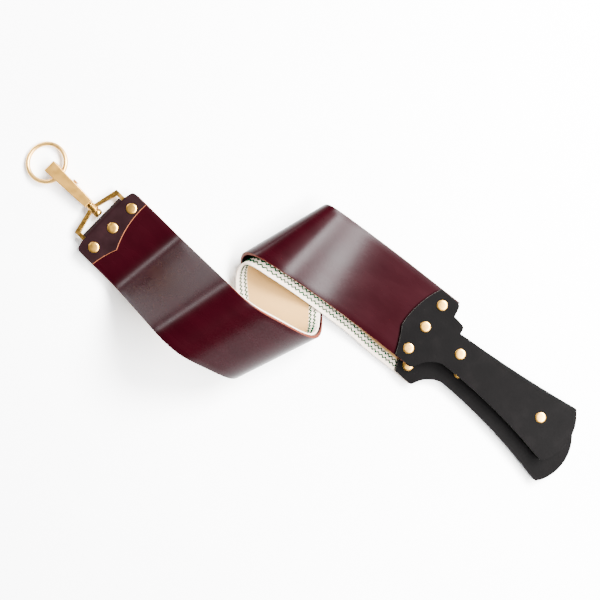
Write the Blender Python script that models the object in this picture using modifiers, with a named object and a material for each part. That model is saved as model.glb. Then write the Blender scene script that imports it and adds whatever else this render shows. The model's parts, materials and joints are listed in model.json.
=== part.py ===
"""Hanging razor strop, lying in a loose curl on a flat surface.

A leather strap and a woven strap share a leather chape and a brass swivel snap at one end, and end
in a leather handle each at the other. +X runs from the snap towards the handles, +Z is up, and the
origin is under the middle of the part's bounding box, on the surface that it lies on.
"""
import math

import bmesh
import bpy
from mathutils import Matrix, Vector

MM = 0.001

# ---- clearances and stock ------------------------------------------------------------------------
GAP = 0.3 * MM                 # between touching pieces
CAP_GAP = 0.15 * MM            # between a rivet cap and the leather under it
LEATHER = 3.4 * MM             # strap thickness
WEBBING = 2.4 * MM             # woven strap thickness
CHAPE = 2.4 * MM               # chape leather
LEAF = 2.6 * MM                # handle leather
STRAP_WIDTH = 76.2 * MM        # 3 in

# ---- rivets --------------------------------------------------------------------------------------
RIVET_R = 5.2 * MM
RIVET_DOME = 1.25 * MM
RIVET_TUBE_R = 2.3 * MM
RIVET_POST_R = 1.35 * MM
RIVET_WALL = 0.5 * MM
RIVET_HOLE_R = 2.65 * MM
RIVET_PITCH = 25.4 * MM        # across the strap
RIVET_SIDES = 14

# ---- heights of the layers at the clip end, bottom to top ------------------------------------------
CHAPE_LOW = CAP_GAP + RIVET_DOME
WEB_LOW = CHAPE_LOW + CHAPE + GAP
STRAP_LOW = WEB_LOW + WEBBING + GAP
CHAPE_TOP_LOW = STRAP_LOW + LEATHER + GAP
CHAPE_TOP = CHAPE_TOP_LOW + CHAPE
CLIP_AXIS_Z = (CHAPE_LOW + CHAPE_TOP) / 2
STRAP_MID = STRAP_LOW + LEATHER / 2
WEB_BEHIND = STRAP_MID - (WEB_LOW + WEBBING / 2)   # webbing centre behind leather centre

# ---- heights of the two handles, one lying on the other --------------------------------------------
REAR_LOW = CAP_GAP + RIVET_DOME
REAR_TOP = REAR_LOW + 2 * LEAF + WEBBING + 2 * GAP
FRONT_LOW = REAR_TOP + GAP + RIVET_DOME + CAP_GAP
REAR_MID = REAR_LOW + LEAF + GAP + WEBBING / 2
FRONT_MID = FRONT_LOW + LEAF + GAP + LEATHER / 2

# ---- the way the leather strap lies ----------------------------------------------------------------
STRAP_LENGTH = 555.5 * MM      # chape rivets to handle rivets
STRAP_TAIL = 6 * MM            # strap inside the chape, ahead of its rivets
# (middle of the bend, strap it takes up, degrees turned down)
BENDS = (
    (42.9 * MM, 59.9 * MM, -48.7),
    (156.0 * MM, 82.4 * MM, 93.4),
    (263.3 * MM, 112.5 * MM, 142.9),
    (317.6 * MM, 90.0 * MM, -14.7),
    (389.2 * MM, 109.2 * MM, 208.2),
    (475.9 * MM, 104.4 * MM, -23.4),
)
SETTLE = (STRAP_LENGTH - 150 * MM, STRAP_LENGTH - 30 * MM)  # the strap lies down under the handles
# (place along the strap, degrees its fold line leans from square)
LEAN = (
    (0, 0), (42.9 * MM, 6.2), (156.0 * MM, 15.8), (263.3 * MM, 25.3), (389.2 * MM, 29.5), (429.2 * MM, 9.5),
    (475.9 * MM, 3.9), (SETTLE[1], 0),
)
HANDLE_HEADING = 6.2           # degrees
STRAP_STEPS = 130

# ---- the webbing follows the leather, nearer the inside of the curl --------------------------------
# (place along the leather, distance behind it, sideways slip)
WEB_LAY = (
    (0, WEB_BEHIND, 0),
    (200 * MM, WEB_BEHIND, 0),
    (300 * MM, WEB_BEHIND + 0.4 * MM, 2 * MM),
    (385 * MM, 7.5 * MM, 7 * MM),
    (420 * MM, 7.0 * MM, 10.5 * MM),
    (500 * MM, 8.0 * MM, 11 * MM),
)
REAR_AHEAD = 11.5 * MM         # rear handle's rivets beyond the front handle's
REAR_ASIDE = 12.7 * MM         # and to the near side of them
REAR_TURN = -2.0               # degrees from the front handle
TAB_AHEAD = 22 * MM            # strap's own end tab starts this far ahead of the handle rivets

# ---- handle outline, from the head rivets: x towards the butt, y towards the far side ---------------
HEAD_FAR_CORNER = (-9.8 * MM, 37.0 * MM)
HEAD_POINT = (-18.5 * MM, -11.4 * MM)
HEAD_NEAR_CORNER = (-6.0 * MM, -37.3 * MM)
HEAD_EDGE_BOW = (3.4 * MM, -0.8 * MM)
FAR_EAR = (13.2 * MM, 36.4 * MM)
FAR_STEPS = ((15.8 * MM, 24.4 * MM), (28.8 * MM, 22.3 * MM), (29.9 * MM, 15.3 * MM))
NEAR_EAR = (13.9 * MM, -37.7 * MM)
NEAR_COVE = ((23.2 * MM, -20.9 * MM), (35.6 * MM, -17.2 * MM))
FAR_WAIST = (37.5 * MM, 15.8 * MM)
FAR_SIDE_BOW = -1.5 * MM
NEAR_SIDE_BOW = -3.2 * MM
BUTT_CORNERS = ((159.0 * MM, 27.2 * MM), (162.3 * MM, -31.4 * MM))
BUTT_BOW = 9.5 * MM
HANDLE_RIVETS = ((0, RIVET_PITCH), (0, 0), (0, -RIVET_PITCH), (41.4 * MM, 0), (136.8 * MM, 0))
CORE_START = 21.5 * MM         # filler ply begins behind the strap's tab

# ---- chape -----------------------------------------------------------------------------------------
FOLD_AXIS_X = -10.8 * MM
NECK_HALF = 23.9 * MM
CHAPE_HALF = 37.6 * MM
SHOULDER = ((-12.0 * MM, 23.9 * MM), (-12.0 * MM, 29.0 * MM), (-10.0 * MM, 36.4 * MM))
CHAPE_FRONT_CORNERS = (7.2 * MM, 10.2 * MM)
CHAPE_POINT = (17.0 * MM, -12.3 * MM)
CHAPE_EDGE_BOW = (-3.4 * MM, -0.9 * MM)

# ---- bail ------------------------------------------------------------------------------------------
BAIL_BAR = 4.0 * MM
BAIL_HALF = 28.2 * MM
BAIL_ROOF_X = -23.4 * MM
BAIL_APEX_X = -28.8 * MM
BOSS_X = (-29.8 * MM, -23.6 * MM)
BOSS_R = 4.1 * MM
CROSSBAR_R = 2.0 * MM

# ---- swivel stud, from the snap to its peened head --------------------------------------------------
STUD_TAIL_X = -40.0 * MM
STUD_TAIL_R = 1.6 * MM
STUD_SHANK_R = 2.2 * MM
STUD_COLLAR_X = (-31.6 * MM, -30.2 * MM)
STUD_COLLAR_R = 3.9 * MM
STUD_GROOVE_R = 3.0 * MM
STUD_HEAD_X = (-23.2 * MM, -17.9 * MM)
STUD_HEAD_R = 4.2 * MM
STUD_PLAY = 0.3 * MM

# ---- snap --------------------------------------------------------------------------------------------
SNAP_NECK_X = -32.5 * MM
SNAP_TIP_X = -84.3 * MM
SNAP_HALF_WIDTH = (4.45 * MM, 6.35 * MM)    # at the neck, at the tip
SNAP_HEIGHT = (8.6 * MM, 14.0 * MM)
SNAP_HEEL_X = -60.0 * MM
SNAP_NOSE_X = -74.6 * MM
SNAP_NOSE = 4.0 * MM
SNAP_BACK = 3.5 * MM
SNAP_END_WALL = 4.2 * MM
BOLT_R = 1.4 * MM
BOLT_Z = 3.05 * MM
BOLT_END_X = -54.5 * MM
BOLT_TRAVEL = 10 * MM
BORE_END_X = -34.4 * MM
KNOB_X = (-58.5 * MM, -55.5 * MM)
KNOB_REACH = 7.0 * MM
SPRING_WIRE_R = 0.25 * MM
SPRING_R = 1.1 * MM
SPRING_TURNS = 9

# ---- ring --------------------------------------------------------------------------------------------
RING_WIRE_R = 2.1 * MM
RING_R = 18.4 * MM
RING_HOOK = (-70.8 * MM, 7.55 * MM)         # where its wire passes through the hook: x, z

COLOURS = {
    "burgundy_leather": ((0.055, 0.010, 0.016), 0.35, 0.0),
    "chape_leather": ((0.030, 0.013, 0.015), 0.55, 0.0),
    "black_leather": ((0.014, 0.012, 0.011), 0.60, 0.0),
    "webbing": ((0.80, 0.70, 0.54), 0.90, 0.0),
    "brass": ((0.78, 0.56, 0.26), 0.30, 1.0),
}


# ====================================================================================================
# helpers
# ====================================================================================================
def clear_scene():
    """Remove whatever the file holds."""
    for obj in list(bpy.data.objects):
        bpy.data.objects.remove(obj)


def make_collection(name):
    """A collection linked to the scene."""
    collection = bpy.data.collections.new(name)
    bpy.context.scene.collection.children.link(collection)
    return collection


def make_material(name):
    """A Principled material in one of the part's colours."""
    colour, roughness, metallic = COLOURS[name]
    material = bpy.data.materials.new(name)
    material.use_nodes = True
    shader = material.node_tree.nodes["Principled BSDF"]
    shader.inputs["Base Color"].default_value = (*colour, 1)
    shader.inputs["Roughness"].default_value = roughness
    shader.inputs["Metallic"].default_value = metallic
    return material


def add_object(name, mesh, colour, smooth=False):
    """Put a mesh in the part's collection with its own material."""
    obj = bpy.data.objects.new(name, mesh)
    PARTS.objects.link(obj)
    mesh.materials.clear()
    material = make_material(colour)
    material.name = f"{name}_{colour}"
    mesh.materials.append(material)
    if smooth:
        mesh.shade_smooth()
        mesh.set_sharp_from_angle(angle=math.radians(40))
    return obj


def add_cutter(name, mesh):
    """Put a mesh in the cutters' collection."""
    obj = bpy.data.objects.new(name, mesh)
    CUTTERS.objects.link(obj)
    obj.hide_render = True
    obj.display_type = "WIRE"
    return obj


def combine(obj, other, operation):
    """Cut, join or intersect with another object."""
    modifier = obj.modifiers.new(f"{operation.lower()}_{other.name}", "BOOLEAN")
    modifier.operation = operation
    modifier.solver = "EXACT"
    modifier.object = other


def bevel_edges(obj, width, segments=1, angle=40):
    """Round the sharp edges of an object."""
    modifier = obj.modifiers.new("rounded_edges", "BEVEL")
    modifier.width = width
    modifier.segments = segments
    modifier.limit_method = "ANGLE"
    modifier.angle_limit = math.radians(angle)


def cylinder_mesh(name, radius, ends, direction="X", centre=(0, 0), sides=16):
    """A capped cylinder along X, Y or Z between two places on that axis."""
    turn = {"X": Matrix.Rotation(math.pi / 2, 4, "Y"), "Y": Matrix.Rotation(-math.pi / 2, 4, "X"),
            "Z": Matrix.Identity(4)}[direction]
    middle = (ends[0] + ends[1]) / 2
    place = {"X": (middle, *centre), "Y": (centre[0], middle, centre[1]), "Z": (*centre, middle)}[direction]
    shape = bmesh.new()
    bmesh.ops.create_cone(shape, cap_ends=True, segments=sides, radius1=radius, radius2=radius,
                          depth=abs(ends[1] - ends[0]))
    bmesh.ops.transform(shape, matrix=Matrix.Translation(place) @ turn, verts=shape.verts)
    mesh = bpy.data.meshes.new(name)
    shape.to_mesh(mesh)
    shape.free()
    return mesh


def box_mesh(name, low, high):
    """A box between two corners."""
    size = [high[i] - low[i] for i in range(3)]
    middle = [(high[i] + low[i]) / 2 for i in range(3)]
    shape = bmesh.new()
    bmesh.ops.create_cube(shape, size=1)
    bmesh.ops.scale(shape, vec=size, verts=shape.verts)
    bmesh.ops.translate(shape, vec=middle, verts=shape.verts)
    mesh = bpy.data.meshes.new(name)
    shape.to_mesh(mesh)
    shape.free()
    return mesh


def plate_mesh(name, outline, thickness, holes=()):
    """A flat plate from an outline, centred on z = 0. Each hole is (x, y, radius)."""
    curve = bpy.data.curves.new(name, "CURVE")
    curve.dimensions = "2D"
    curve.fill_mode = "BOTH"
    curve.extrude = thickness / 2
    rings = [outline] + [circle_points(x, y, radius, 12) for x, y, radius in holes]
    for ring in rings:
        spline = curve.splines.new("POLY")
        spline.points.add(len(ring) - 1)
        for point, (x, y) in zip(spline.points, ring):
            point.co = (x, y, 0, 1)
        spline.use_cyclic_u = True
    stand_in = bpy.data.objects.new(name, curve)
    CUTTERS.objects.link(stand_in)
    bpy.context.view_layer.update()
    mesh = bpy.data.meshes.new_from_object(stand_in.evaluated_get(bpy.context.evaluated_depsgraph_get()))
    bpy.data.objects.remove(stand_in)
    shape = bmesh.new()
    shape.from_mesh(mesh)
    bmesh.ops.remove_doubles(shape, verts=shape.verts, dist=0.001 * MM)
    bmesh.ops.recalc_face_normals(shape, faces=shape.faces)
    shape.to_mesh(mesh)
    shape.free()
    return mesh


def turned_object(name, profile, colour, sides, direction="Z"):
    """A turned piece. The profile is (radius, height) from the top of the axis down the outside."""
    shape = bmesh.new()
    rows = [shape.verts.new((radius, 0, height)) for radius, height in profile]
    for first, second in zip(rows, rows[1:]):
        shape.edges.new((first, second))
    mesh = bpy.data.meshes.new(name)
    shape.to_mesh(mesh)
    shape.free()
    obj = add_object(name, mesh, colour)
    screw = obj.modifiers.new("turned", "SCREW")
    screw.steps = sides
    screw.render_steps = sides
    screw.use_merge_vertices = True
    screw.merge_threshold = 0.001 * MM
    screw.use_smooth_shade = True
    if direction == "X":
        obj.rotation_euler = (0, math.pi / 2, 0)
    return obj


def circle_points(x, y, radius, count):
    """Points round a circle."""
    return [(x + radius * math.cos(2 * math.pi * i / count), y + radius * math.sin(2 * math.pi * i / count))
            for i in range(count)]


def bowed(start, end, bow, count=8):
    """Points of a circular arc from start up to, not including, end.

    A positive bow bulges to the left of travel.
    """
    ax, ay = start
    bx, by = end
    chord = math.hypot(bx - ax, by - ay)
    if abs(bow) < 0.01 * MM:
        return [start]
    radius = (chord * chord / 4 + bow * bow) / (2 * abs(bow))
    half = math.asin(min(1, chord / (2 * radius)))
    points = []
    for i in range(count):
        angle = half * (2 * i / count - 1)
        along = radius * math.sin(angle) / chord + 0.5
        off = math.copysign(radius * math.cos(angle) - (radius - abs(bow)), bow) / chord
        points.append((ax + along * (bx - ax) - off * (by - ay), ay + along * (by - ay) + off * (bx - ax)))
    return points


def rounded(corner, before, after, radius, count=4):
    """Points that round a corner between its two neighbours."""
    def towards(point):
        dx, dy = point[0] - corner[0], point[1] - corner[1]
        length = math.hypot(dx, dy)
        return corner[0] + dx * radius / length, corner[1] + dy * radius / length
    first, last = towards(before), towards(after)
    points = []
    for i in range(count + 1):
        t = i / count
        weights = ((1 - t) ** 2, 2 * t * (1 - t), t * t)
        points.append(tuple(weights[0] * first[k] + weights[1] * corner[k] + weights[2] * last[k]
                            for k in range(2)))
    return points


def smooth_step(value, low, high):
    """0 below low, 1 above high, smooth between."""
    t = min(1, max(0, (value - low) / (high - low)))
    return t * t * (3 - 2 * t)


def along_stations(value, stations, column):
    """A column of a station list, eased smoothly from station to station."""
    if value <= stations[0][0]:
        return stations[0][column]
    for lower, upper in zip(stations, stations[1:]):
        if value <= upper[0]:
            ease = smooth_step(value, lower[0], upper[0])
            return lower[column] + ease * (upper[column] - lower[column])
    return stations[-1][column]


# ====================================================================================================
# the strap's path
# ====================================================================================================
def bend_rate(place):
    """Degrees turned down per metre of strap at a place along it."""
    rate = 0
    for middle, spread, turn in BENDS:
        x = (place - middle) / (spread / 2)
        if abs(x) < 1:
            rate += turn * (1 + math.cos(math.pi * x)) / spread
    return rate


def fold_direction(tangent, normal, place):
    """Direction of the straight line across the strap at a place."""
    lean = math.radians(along_stations(place, LEAN, 1))
    return normal.cross(tangent) * math.cos(lean) + tangent * math.sin(lean)


def strap_path():
    """Frames down the middle of the leather strap: (place, point, tangent, normal, fold line, lean)."""
    step = STRAP_LENGTH / STRAP_STEPS
    tangent, normal = Vector((1, 0, 0)), Vector((0, 0, 1))
    raw = [(tangent.copy(), normal.copy())]
    for i in range(STRAP_STEPS):
        place = (i + 0.5) * step
        fold = fold_direction(tangent, normal, place)
        turn = Matrix.Rotation(math.radians(bend_rate(place)) * step, 3, fold)
        tangent, normal = turn @ tangent, turn @ normal
        raw.append((tangent.copy(), normal.copy()))
    end_heading = math.radians(HANDLE_HEADING)
    flat = Vector((math.cos(end_heading), math.sin(end_heading), 0))
    settled = []
    for i, (tangent, normal) in enumerate(raw):
        ease = smooth_step(i * step, *SETTLE)
        tangent = tangent.lerp(flat, ease).normalized()
        normal = normal.lerp(Vector((0, 0, 1)), ease)
        normal = (normal - tangent * normal.dot(tangent)).normalized()
        settled.append((tangent, normal))
    points = [Vector((0, 0, STRAP_MID))]
    for (first, _), (second, _) in zip(settled, settled[1:]):
        points.append(points[-1] + (first + second).normalized() * step)
    drop = FRONT_MID - points[-1].z
    frames = []
    for i, (tangent, normal) in enumerate(settled):
        place = i * step
        point = points[i] + Vector((0, 0, drop * smooth_step(place, *SETTLE)))
        lean = math.radians(along_stations(place, LEAN, 1))
        frames.append((place, point, tangent, normal, fold_direction(tangent, normal, place), lean))
    return frames


def webbing_path(leather):
    """Frames down the middle of the webbing, lying behind the leather."""
    _, end, tangent, normal, side, _ = leather[-1]
    step = STRAP_LENGTH / STRAP_STEPS
    frames = list(leather)
    for i in range(1, math.ceil(REAR_AHEAD / step) + 1):
        ahead = min(i * step, REAR_AHEAD)
        frames.append((STRAP_LENGTH + ahead, end + tangent * ahead, tangent, normal, side, 0))
    lay = WEB_LAY + ((STRAP_LENGTH - TAB_AHEAD, FRONT_MID - REAR_MID, REAR_ASIDE),)
    turned = Matrix.Rotation(math.radians(REAR_TURN), 3, "Z")
    result = []
    for place, point, tangent, normal, side, lean in frames:
        behind = along_stations(place, lay, 1)
        slip = along_stations(place, lay, 2)
        middle = point - normal * behind - side * slip
        swing = smooth_step(place, SETTLE[1] - 60 * MM, SETTLE[1] - 5 * MM)
        side = side.lerp(turned @ side, swing).normalized()
        result.append((place, middle, tangent.lerp(turned @ tangent, swing), normal, side, lean))
    return result


def strap_object(name, frames, thickness, colour):
    """A strap of one thickness along a run of frames."""
    shape = bmesh.new()
    rows = []
    for _, point, _, _, side, lean in frames:
        half = side * (STRAP_WIDTH / 2 / math.cos(lean))
        rows.append((shape.verts.new(point - half), shape.verts.new(point + half)))
    for (near, far), (next_near, next_far) in zip(rows, rows[1:]):
        shape.faces.new((near, next_near, next_far, far))
    mesh = bpy.data.meshes.new(name)
    shape.to_mesh(mesh)
    shape.free()
    obj = add_object(name, mesh, colour)
    solidify = obj.modifiers.new("thickness", "SOLIDIFY")
    solidify.thickness = thickness
    solidify.offset = 0
    solidify.use_even_offset = True
    return obj


def run_between(frames, start, end):
    """The frames from one place along the strap to another, with frames exactly at both."""
    def frame_at(place):
        for lower, upper in zip(frames, frames[1:]):
            if lower[0] <= place <= upper[0]:
                t = (place - lower[0]) / (upper[0] - lower[0])
                parts = [lower[k].lerp(upper[k], t) for k in range(1, 5)]
                return (place, parts[0], parts[1].normalized(), parts[2].normalized(), parts[3].normalized(),
                        lower[5] + t * (upper[5] - lower[5]))
        raise ValueError("place is off the strap")
    inner = [frame for frame in frames if start + 0.2 * MM < frame[0] < end - 0.2 * MM]
    return [frame_at(start)] + inner + [frame_at(end)]


# ====================================================================================================
# rivets
# ====================================================================================================
def rivet_cap(name, grip):
    """The domed cap with its tube, which reaches half-way into the stack below z = 0."""
    inner = RIVET_TUBE_R - RIVET_WALL
    depth = -grip * 0.5
    profile = ((0, RIVET_DOME), (0.55 * RIVET_R, 0.92 * RIVET_DOME), (0.9 * RIVET_R, 0.5 * RIVET_DOME),
               (RIVET_R, 0), (RIVET_TUBE_R, 0), (RIVET_TUBE_R, depth), (inner, depth), (inner, -0.4 * MM),
               (0, -0.4 * MM))
    return turned_object(name, profile, "brass", RIVET_SIDES)


def rivet_post(name, grip):
    """The lower cap with the post that stands up into the tube. z = 0 is the top of its dome's flange."""
    profile = ((0, grip - 0.8 * MM), (RIVET_POST_R, grip - 0.8 * MM), (RIVET_POST_R, 0), (RIVET_R, 0),
               (0.9 * RIVET_R, -0.5 * RIVET_DOME), (0.55 * RIVET_R, -0.92 * RIVET_DOME), (0, -RIVET_DOME))
    return turned_object(name, profile, "brass", RIVET_SIDES)


def add_rivet(name, frame, place, low, high):
    """A cap and a post through a stack, at a place given in a frame."""
    spot = frame @ Vector((*place, 0))
    cap = rivet_cap(f"{name}_cap", high - low)
    cap.location = (spot.x, spot.y, high + CAP_GAP)
    post = rivet_post(f"{name}_post", high - low)
    post.location = (spot.x, spot.y, low - CAP_GAP)


# ====================================================================================================
# clip end
# ====================================================================================================
def make_chape():
    """Leather folded round the crossbar: a U section cut to the plan outline."""
    outer = (CHAPE_TOP - CHAPE_LOW) / 2
    inner = outer - CHAPE
    front = CHAPE_POINT[0] + 2 * MM
    sweep = [math.pi / 2 + math.pi * i / 10 for i in range(11)]
    section = [(front, outer)] + [(FOLD_AXIS_X + outer * math.cos(a), outer * math.sin(a)) for a in sweep]
    section += [(front, -outer), (front, -inner)]
    section += [(FOLD_AXIS_X + inner * math.cos(a), inner * math.sin(a)) for a in reversed(sweep)]
    section += [(front, inner)]
    wrap = add_object("bail_chape", plate_mesh("bail_chape", section, 2 * STRAP_WIDTH), "chape_leather")
    wrap.rotation_euler = (math.pi / 2, 0, 0)
    wrap.location = (0, 0, CLIP_AXIS_Z)
    plan = add_cutter("chape_plan", plate_mesh("chape_plan", chape_outline(), 40 * MM))
    combine(wrap, plan, "INTERSECT")
    for i, y in enumerate((RIVET_PITCH, 0, -RIVET_PITCH)):
        hole = cylinder_mesh(f"chape_hole_{i}", RIVET_HOLE_R, (-5 * MM, 25 * MM), "Z", (0, y), 12)
        combine(wrap, add_cutter(f"chape_hole_{i}", hole), "DIFFERENCE")


def chape_outline():
    """Plan of the chape: square neck at the fold, hollow shoulders, two hollow curves at the front."""
    fold_front = FOLD_AXIS_X - (CHAPE_TOP - CHAPE_LOW) / 2 - MM
    far = [(fold_front, NECK_HALF)] + list(SHOULDER[:2])
    far += rounded((SHOULDER[2][0], CHAPE_HALF), SHOULDER[1], (0, CHAPE_HALF), 3 * MM)
    far_corner = (CHAPE_FRONT_CORNERS[0], CHAPE_HALF)
    near_corner = (CHAPE_FRONT_CORNERS[1], -CHAPE_HALF)
    front = bowed(far_corner, CHAPE_POINT, CHAPE_EDGE_BOW[0])
    front += bowed(CHAPE_POINT, near_corner, CHAPE_EDGE_BOW[1])
    near = [near_corner] + [(x, -y) for x, y in reversed(far)]
    return far + front + near


def make_bail():
    """Roof-shaped bar with a round crossbar and a boss for the stud."""
    inner_half = BAIL_HALF - BAIL_BAR
    slope = BAIL_BAR * 1.02
    outer = [(BAIL_APEX_X, 4 * MM), (BAIL_ROOF_X, BAIL_HALF), (FOLD_AXIS_X, BAIL_HALF)]
    inner = [(FOLD_AXIS_X, inner_half), (BAIL_ROOF_X + slope, inner_half), (BAIL_APEX_X + slope, 4 * MM)]
    outline = outer + inner
    outline += [(x, -y) for x, y in reversed(outline)]
    plate = add_object("bail", plate_mesh("bail", outline, BAIL_BAR), "brass", smooth=True)
    plate.location = (0, 0, CLIP_AXIS_Z)
    centre = (FOLD_AXIS_X, CLIP_AXIS_Z)
    bar_ends = (-BAIL_HALF + 0.4 * MM, BAIL_HALF - 0.4 * MM)
    crossbar = cylinder_mesh("crossbar", CROSSBAR_R, bar_ends, "Y", centre, 14)
    combine(plate, add_cutter("crossbar", crossbar), "UNION")
    boss = cylinder_mesh("boss", BOSS_R, BOSS_X, "X", (0, CLIP_AXIS_Z), 18)
    combine(plate, add_cutter("boss", boss), "UNION")
    hole_ends = (BOSS_X[0] - MM, BOSS_X[1] + MM)
    hole = cylinder_mesh("boss_hole", STUD_SHANK_R + STUD_PLAY, hole_ends, "X", (0, CLIP_AXIS_Z), 18)
    combine(plate, add_cutter("boss_hole", hole), "DIFFERENCE")


def make_swivel_stud():
    """Stud turned about X: tail in the snap, grooved collar, shank through the boss, peened head."""
    head_low, head_high = STUD_HEAD_X
    collar_low, collar_high = STUD_COLLAR_X
    groove_low = SNAP_NECK_X + GAP
    profile = (
        (0, head_high), (0.7 * STUD_HEAD_R, head_high - 0.3 * MM), (STUD_HEAD_R, head_high - 1.6 * MM),
        (STUD_HEAD_R, head_low + 0.8 * MM), (0.85 * STUD_HEAD_R, head_low), (STUD_SHANK_R, head_low),
        (STUD_SHANK_R, collar_high), (STUD_COLLAR_R, collar_high), (STUD_COLLAR_R, collar_low),
        (STUD_GROOVE_R, collar_low), (STUD_GROOVE_R, groove_low), (STUD_TAIL_R, groove_low),
        (STUD_TAIL_R, STUD_TAIL_X), (0, STUD_TAIL_X),
    )
    stud = turned_object("swivel_stud", profile, "brass", 18, "X")
    stud.location = (0, 0, CLIP_AXIS_Z)


def make_snap_body():
    """Side profile of the hook, tapered in width, with the bolt's bore, its slot and the stud's hole."""
    low = [(SNAP_NECK_X, -SNAP_HEIGHT[0] / 2), (SNAP_HEEL_X + 6 * MM, -SNAP_HEIGHT[1] / 2 + 0.3 * MM),
           (SNAP_HEEL_X, -SNAP_HEIGHT[1] / 2 + 0.3 * MM)]
    tip = SNAP_HEIGHT[1] / 2
    mouth_low, mouth_high = -tip + SNAP_NOSE, tip - SNAP_BACK
    inside = SNAP_TIP_X + SNAP_END_WALL
    mouth = [(SNAP_HEEL_X, mouth_high - 1.2 * MM), (SNAP_HEEL_X - 1.5 * MM, mouth_high),
             (inside + 2 * MM, mouth_high), (inside, mouth_high - 2 * MM),
             (inside, mouth_low + 1.2 * MM), (inside + 1 * MM, mouth_low), (SNAP_NOSE_X, mouth_low)]
    nose = [(SNAP_NOSE_X, -tip), (SNAP_TIP_X + 3.5 * MM, -tip), (SNAP_TIP_X + 1.0 * MM, -tip + 1.3 * MM),
            (SNAP_TIP_X, -tip + 4 * MM)]
    back = [(SNAP_TIP_X, tip - 2.2 * MM), (SNAP_TIP_X + 0.7 * MM, tip - 0.7 * MM),
            (SNAP_TIP_X + 2.2 * MM, tip), (SNAP_NECK_X, SNAP_HEIGHT[0] / 2)]
    profile = plate_mesh("snap_body", low + mouth + nose + back, 4 * SNAP_HALF_WIDTH[1])
    body = add_object("snap_body", profile, "brass", smooth=True)
    body.rotation_euler = (math.pi / 2, 0, 0)
    body.location = (0, 0, CLIP_AXIS_Z)
    neck, wide = SNAP_HALF_WIDTH
    near_neck, past_tip = SNAP_NECK_X + MM, SNAP_TIP_X - MM
    taper = [(near_neck, neck), (past_tip, wide), (past_tip, -wide), (near_neck, -neck)]
    combine(body, add_cutter("snap_taper", plate_mesh("snap_taper", taper, 60 * MM)), "INTERSECT")
    bevel_edges(body, 0.7 * MM, 2, 60)
    bore = cylinder_mesh("bolt_bore", BOLT_R + GAP, (SNAP_HEEL_X - MM, BORE_END_X), "X", (0, BOLT_Z), 14)
    combine(body, add_cutter("bolt_bore", bore), "DIFFERENCE")
    slot_high = KNOB_X[1] + BOLT_TRAVEL + GAP
    slot = box_mesh("bolt_slot", (SNAP_HEEL_X - MM, 0, BOLT_Z - 1.1 * MM),
                    (slot_high, 9 * MM, BOLT_Z + 1.1 * MM))
    combine(body, add_cutter("bolt_slot", slot), "DIFFERENCE")
    socket_ends = (STUD_TAIL_X - GAP, SNAP_NECK_X + MM)
    socket = cylinder_mesh("stud_socket", STUD_TAIL_R + GAP, socket_ends, "X", (0, CLIP_AXIS_Z), 14)
    combine(body, add_cutter("stud_socket", socket), "DIFFERENCE")


def make_gate_bolt():
    """Round bolt that closes the hook, with a thumb knob out of the side slot."""
    rod = cylinder_mesh("gate_bolt", BOLT_R, (SNAP_NOSE_X + GAP, BOLT_END_X), "X", (0, BOLT_Z), 14)
    bolt = add_object("gate_bolt", rod, "brass", smooth=True)
    stem = box_mesh("knob_stem", (KNOB_X[0], 0.3 * MM, BOLT_Z - 0.8 * MM),
                    (KNOB_X[1], KNOB_REACH - 0.4 * MM, BOLT_Z + 0.8 * MM))
    combine(bolt, add_cutter("knob_stem", stem), "UNION")
    pad = box_mesh("knob_pad", (KNOB_X[0] - 1.2 * MM, KNOB_REACH - 1.0 * MM, BOLT_Z - 1.8 * MM),
                   (KNOB_X[1] + 1.2 * MM, KNOB_REACH, BOLT_Z + 1.8 * MM))
    combine(bolt, add_cutter("knob_pad", pad), "UNION")


def make_gate_spring():
    """Coil that pushes the bolt out."""
    start, end = BOLT_END_X + GAP + SPRING_WIRE_R, BORE_END_X - GAP - SPRING_WIRE_R
    curve = bpy.data.curves.new("gate_spring", "CURVE")
    curve.dimensions = "3D"
    curve.bevel_depth = SPRING_WIRE_R
    curve.bevel_resolution = 1
    curve.use_fill_caps = True
    count = SPRING_TURNS * 9
    spline = curve.splines.new("POLY")
    spline.points.add(count)
    for i, point in enumerate(spline.points):
        angle = 2 * math.pi * SPRING_TURNS * i / count
        point.co = (start + (end - start) * i / count, SPRING_R * math.cos(angle),
                    BOLT_Z + SPRING_R * math.sin(angle), 1)
    coil = bpy.data.objects.new("gate_spring", curve)
    PARTS.objects.link(coil)
    curve.materials.append(make_material("brass"))


def make_ring():
    """Round hoop through the hook, its far side resting on the surface below."""
    bpy.ops.mesh.primitive_torus_add(major_radius=RING_R, minor_radius=RING_WIRE_R, major_segments=40,
                                     minor_segments=10)
    made = bpy.context.active_object
    mesh = made.data
    bpy.data.objects.remove(made)
    mesh.name = "ring"
    ring = add_object("ring", mesh, "brass", smooth=True)
    tilt = math.asin((RING_HOOK[1] - RING_WIRE_R - 0.02 * MM) / (2 * RING_R))
    ring.rotation_euler = (0, -tilt, 0)
    ring.location = (RING_HOOK[0] - RING_R * math.cos(tilt), 0, RING_HOOK[1] - RING_R * math.sin(tilt))


def add_chape_rivets():
    """Three rivets through chape and straps."""
    for side, y in (("far", RIVET_PITCH), ("middle", 0), ("near", -RIVET_PITCH)):
        add_rivet(f"chape_rivet_{side}", Matrix.Identity(4), (0, y), CHAPE_LOW, CHAPE_TOP)


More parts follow.
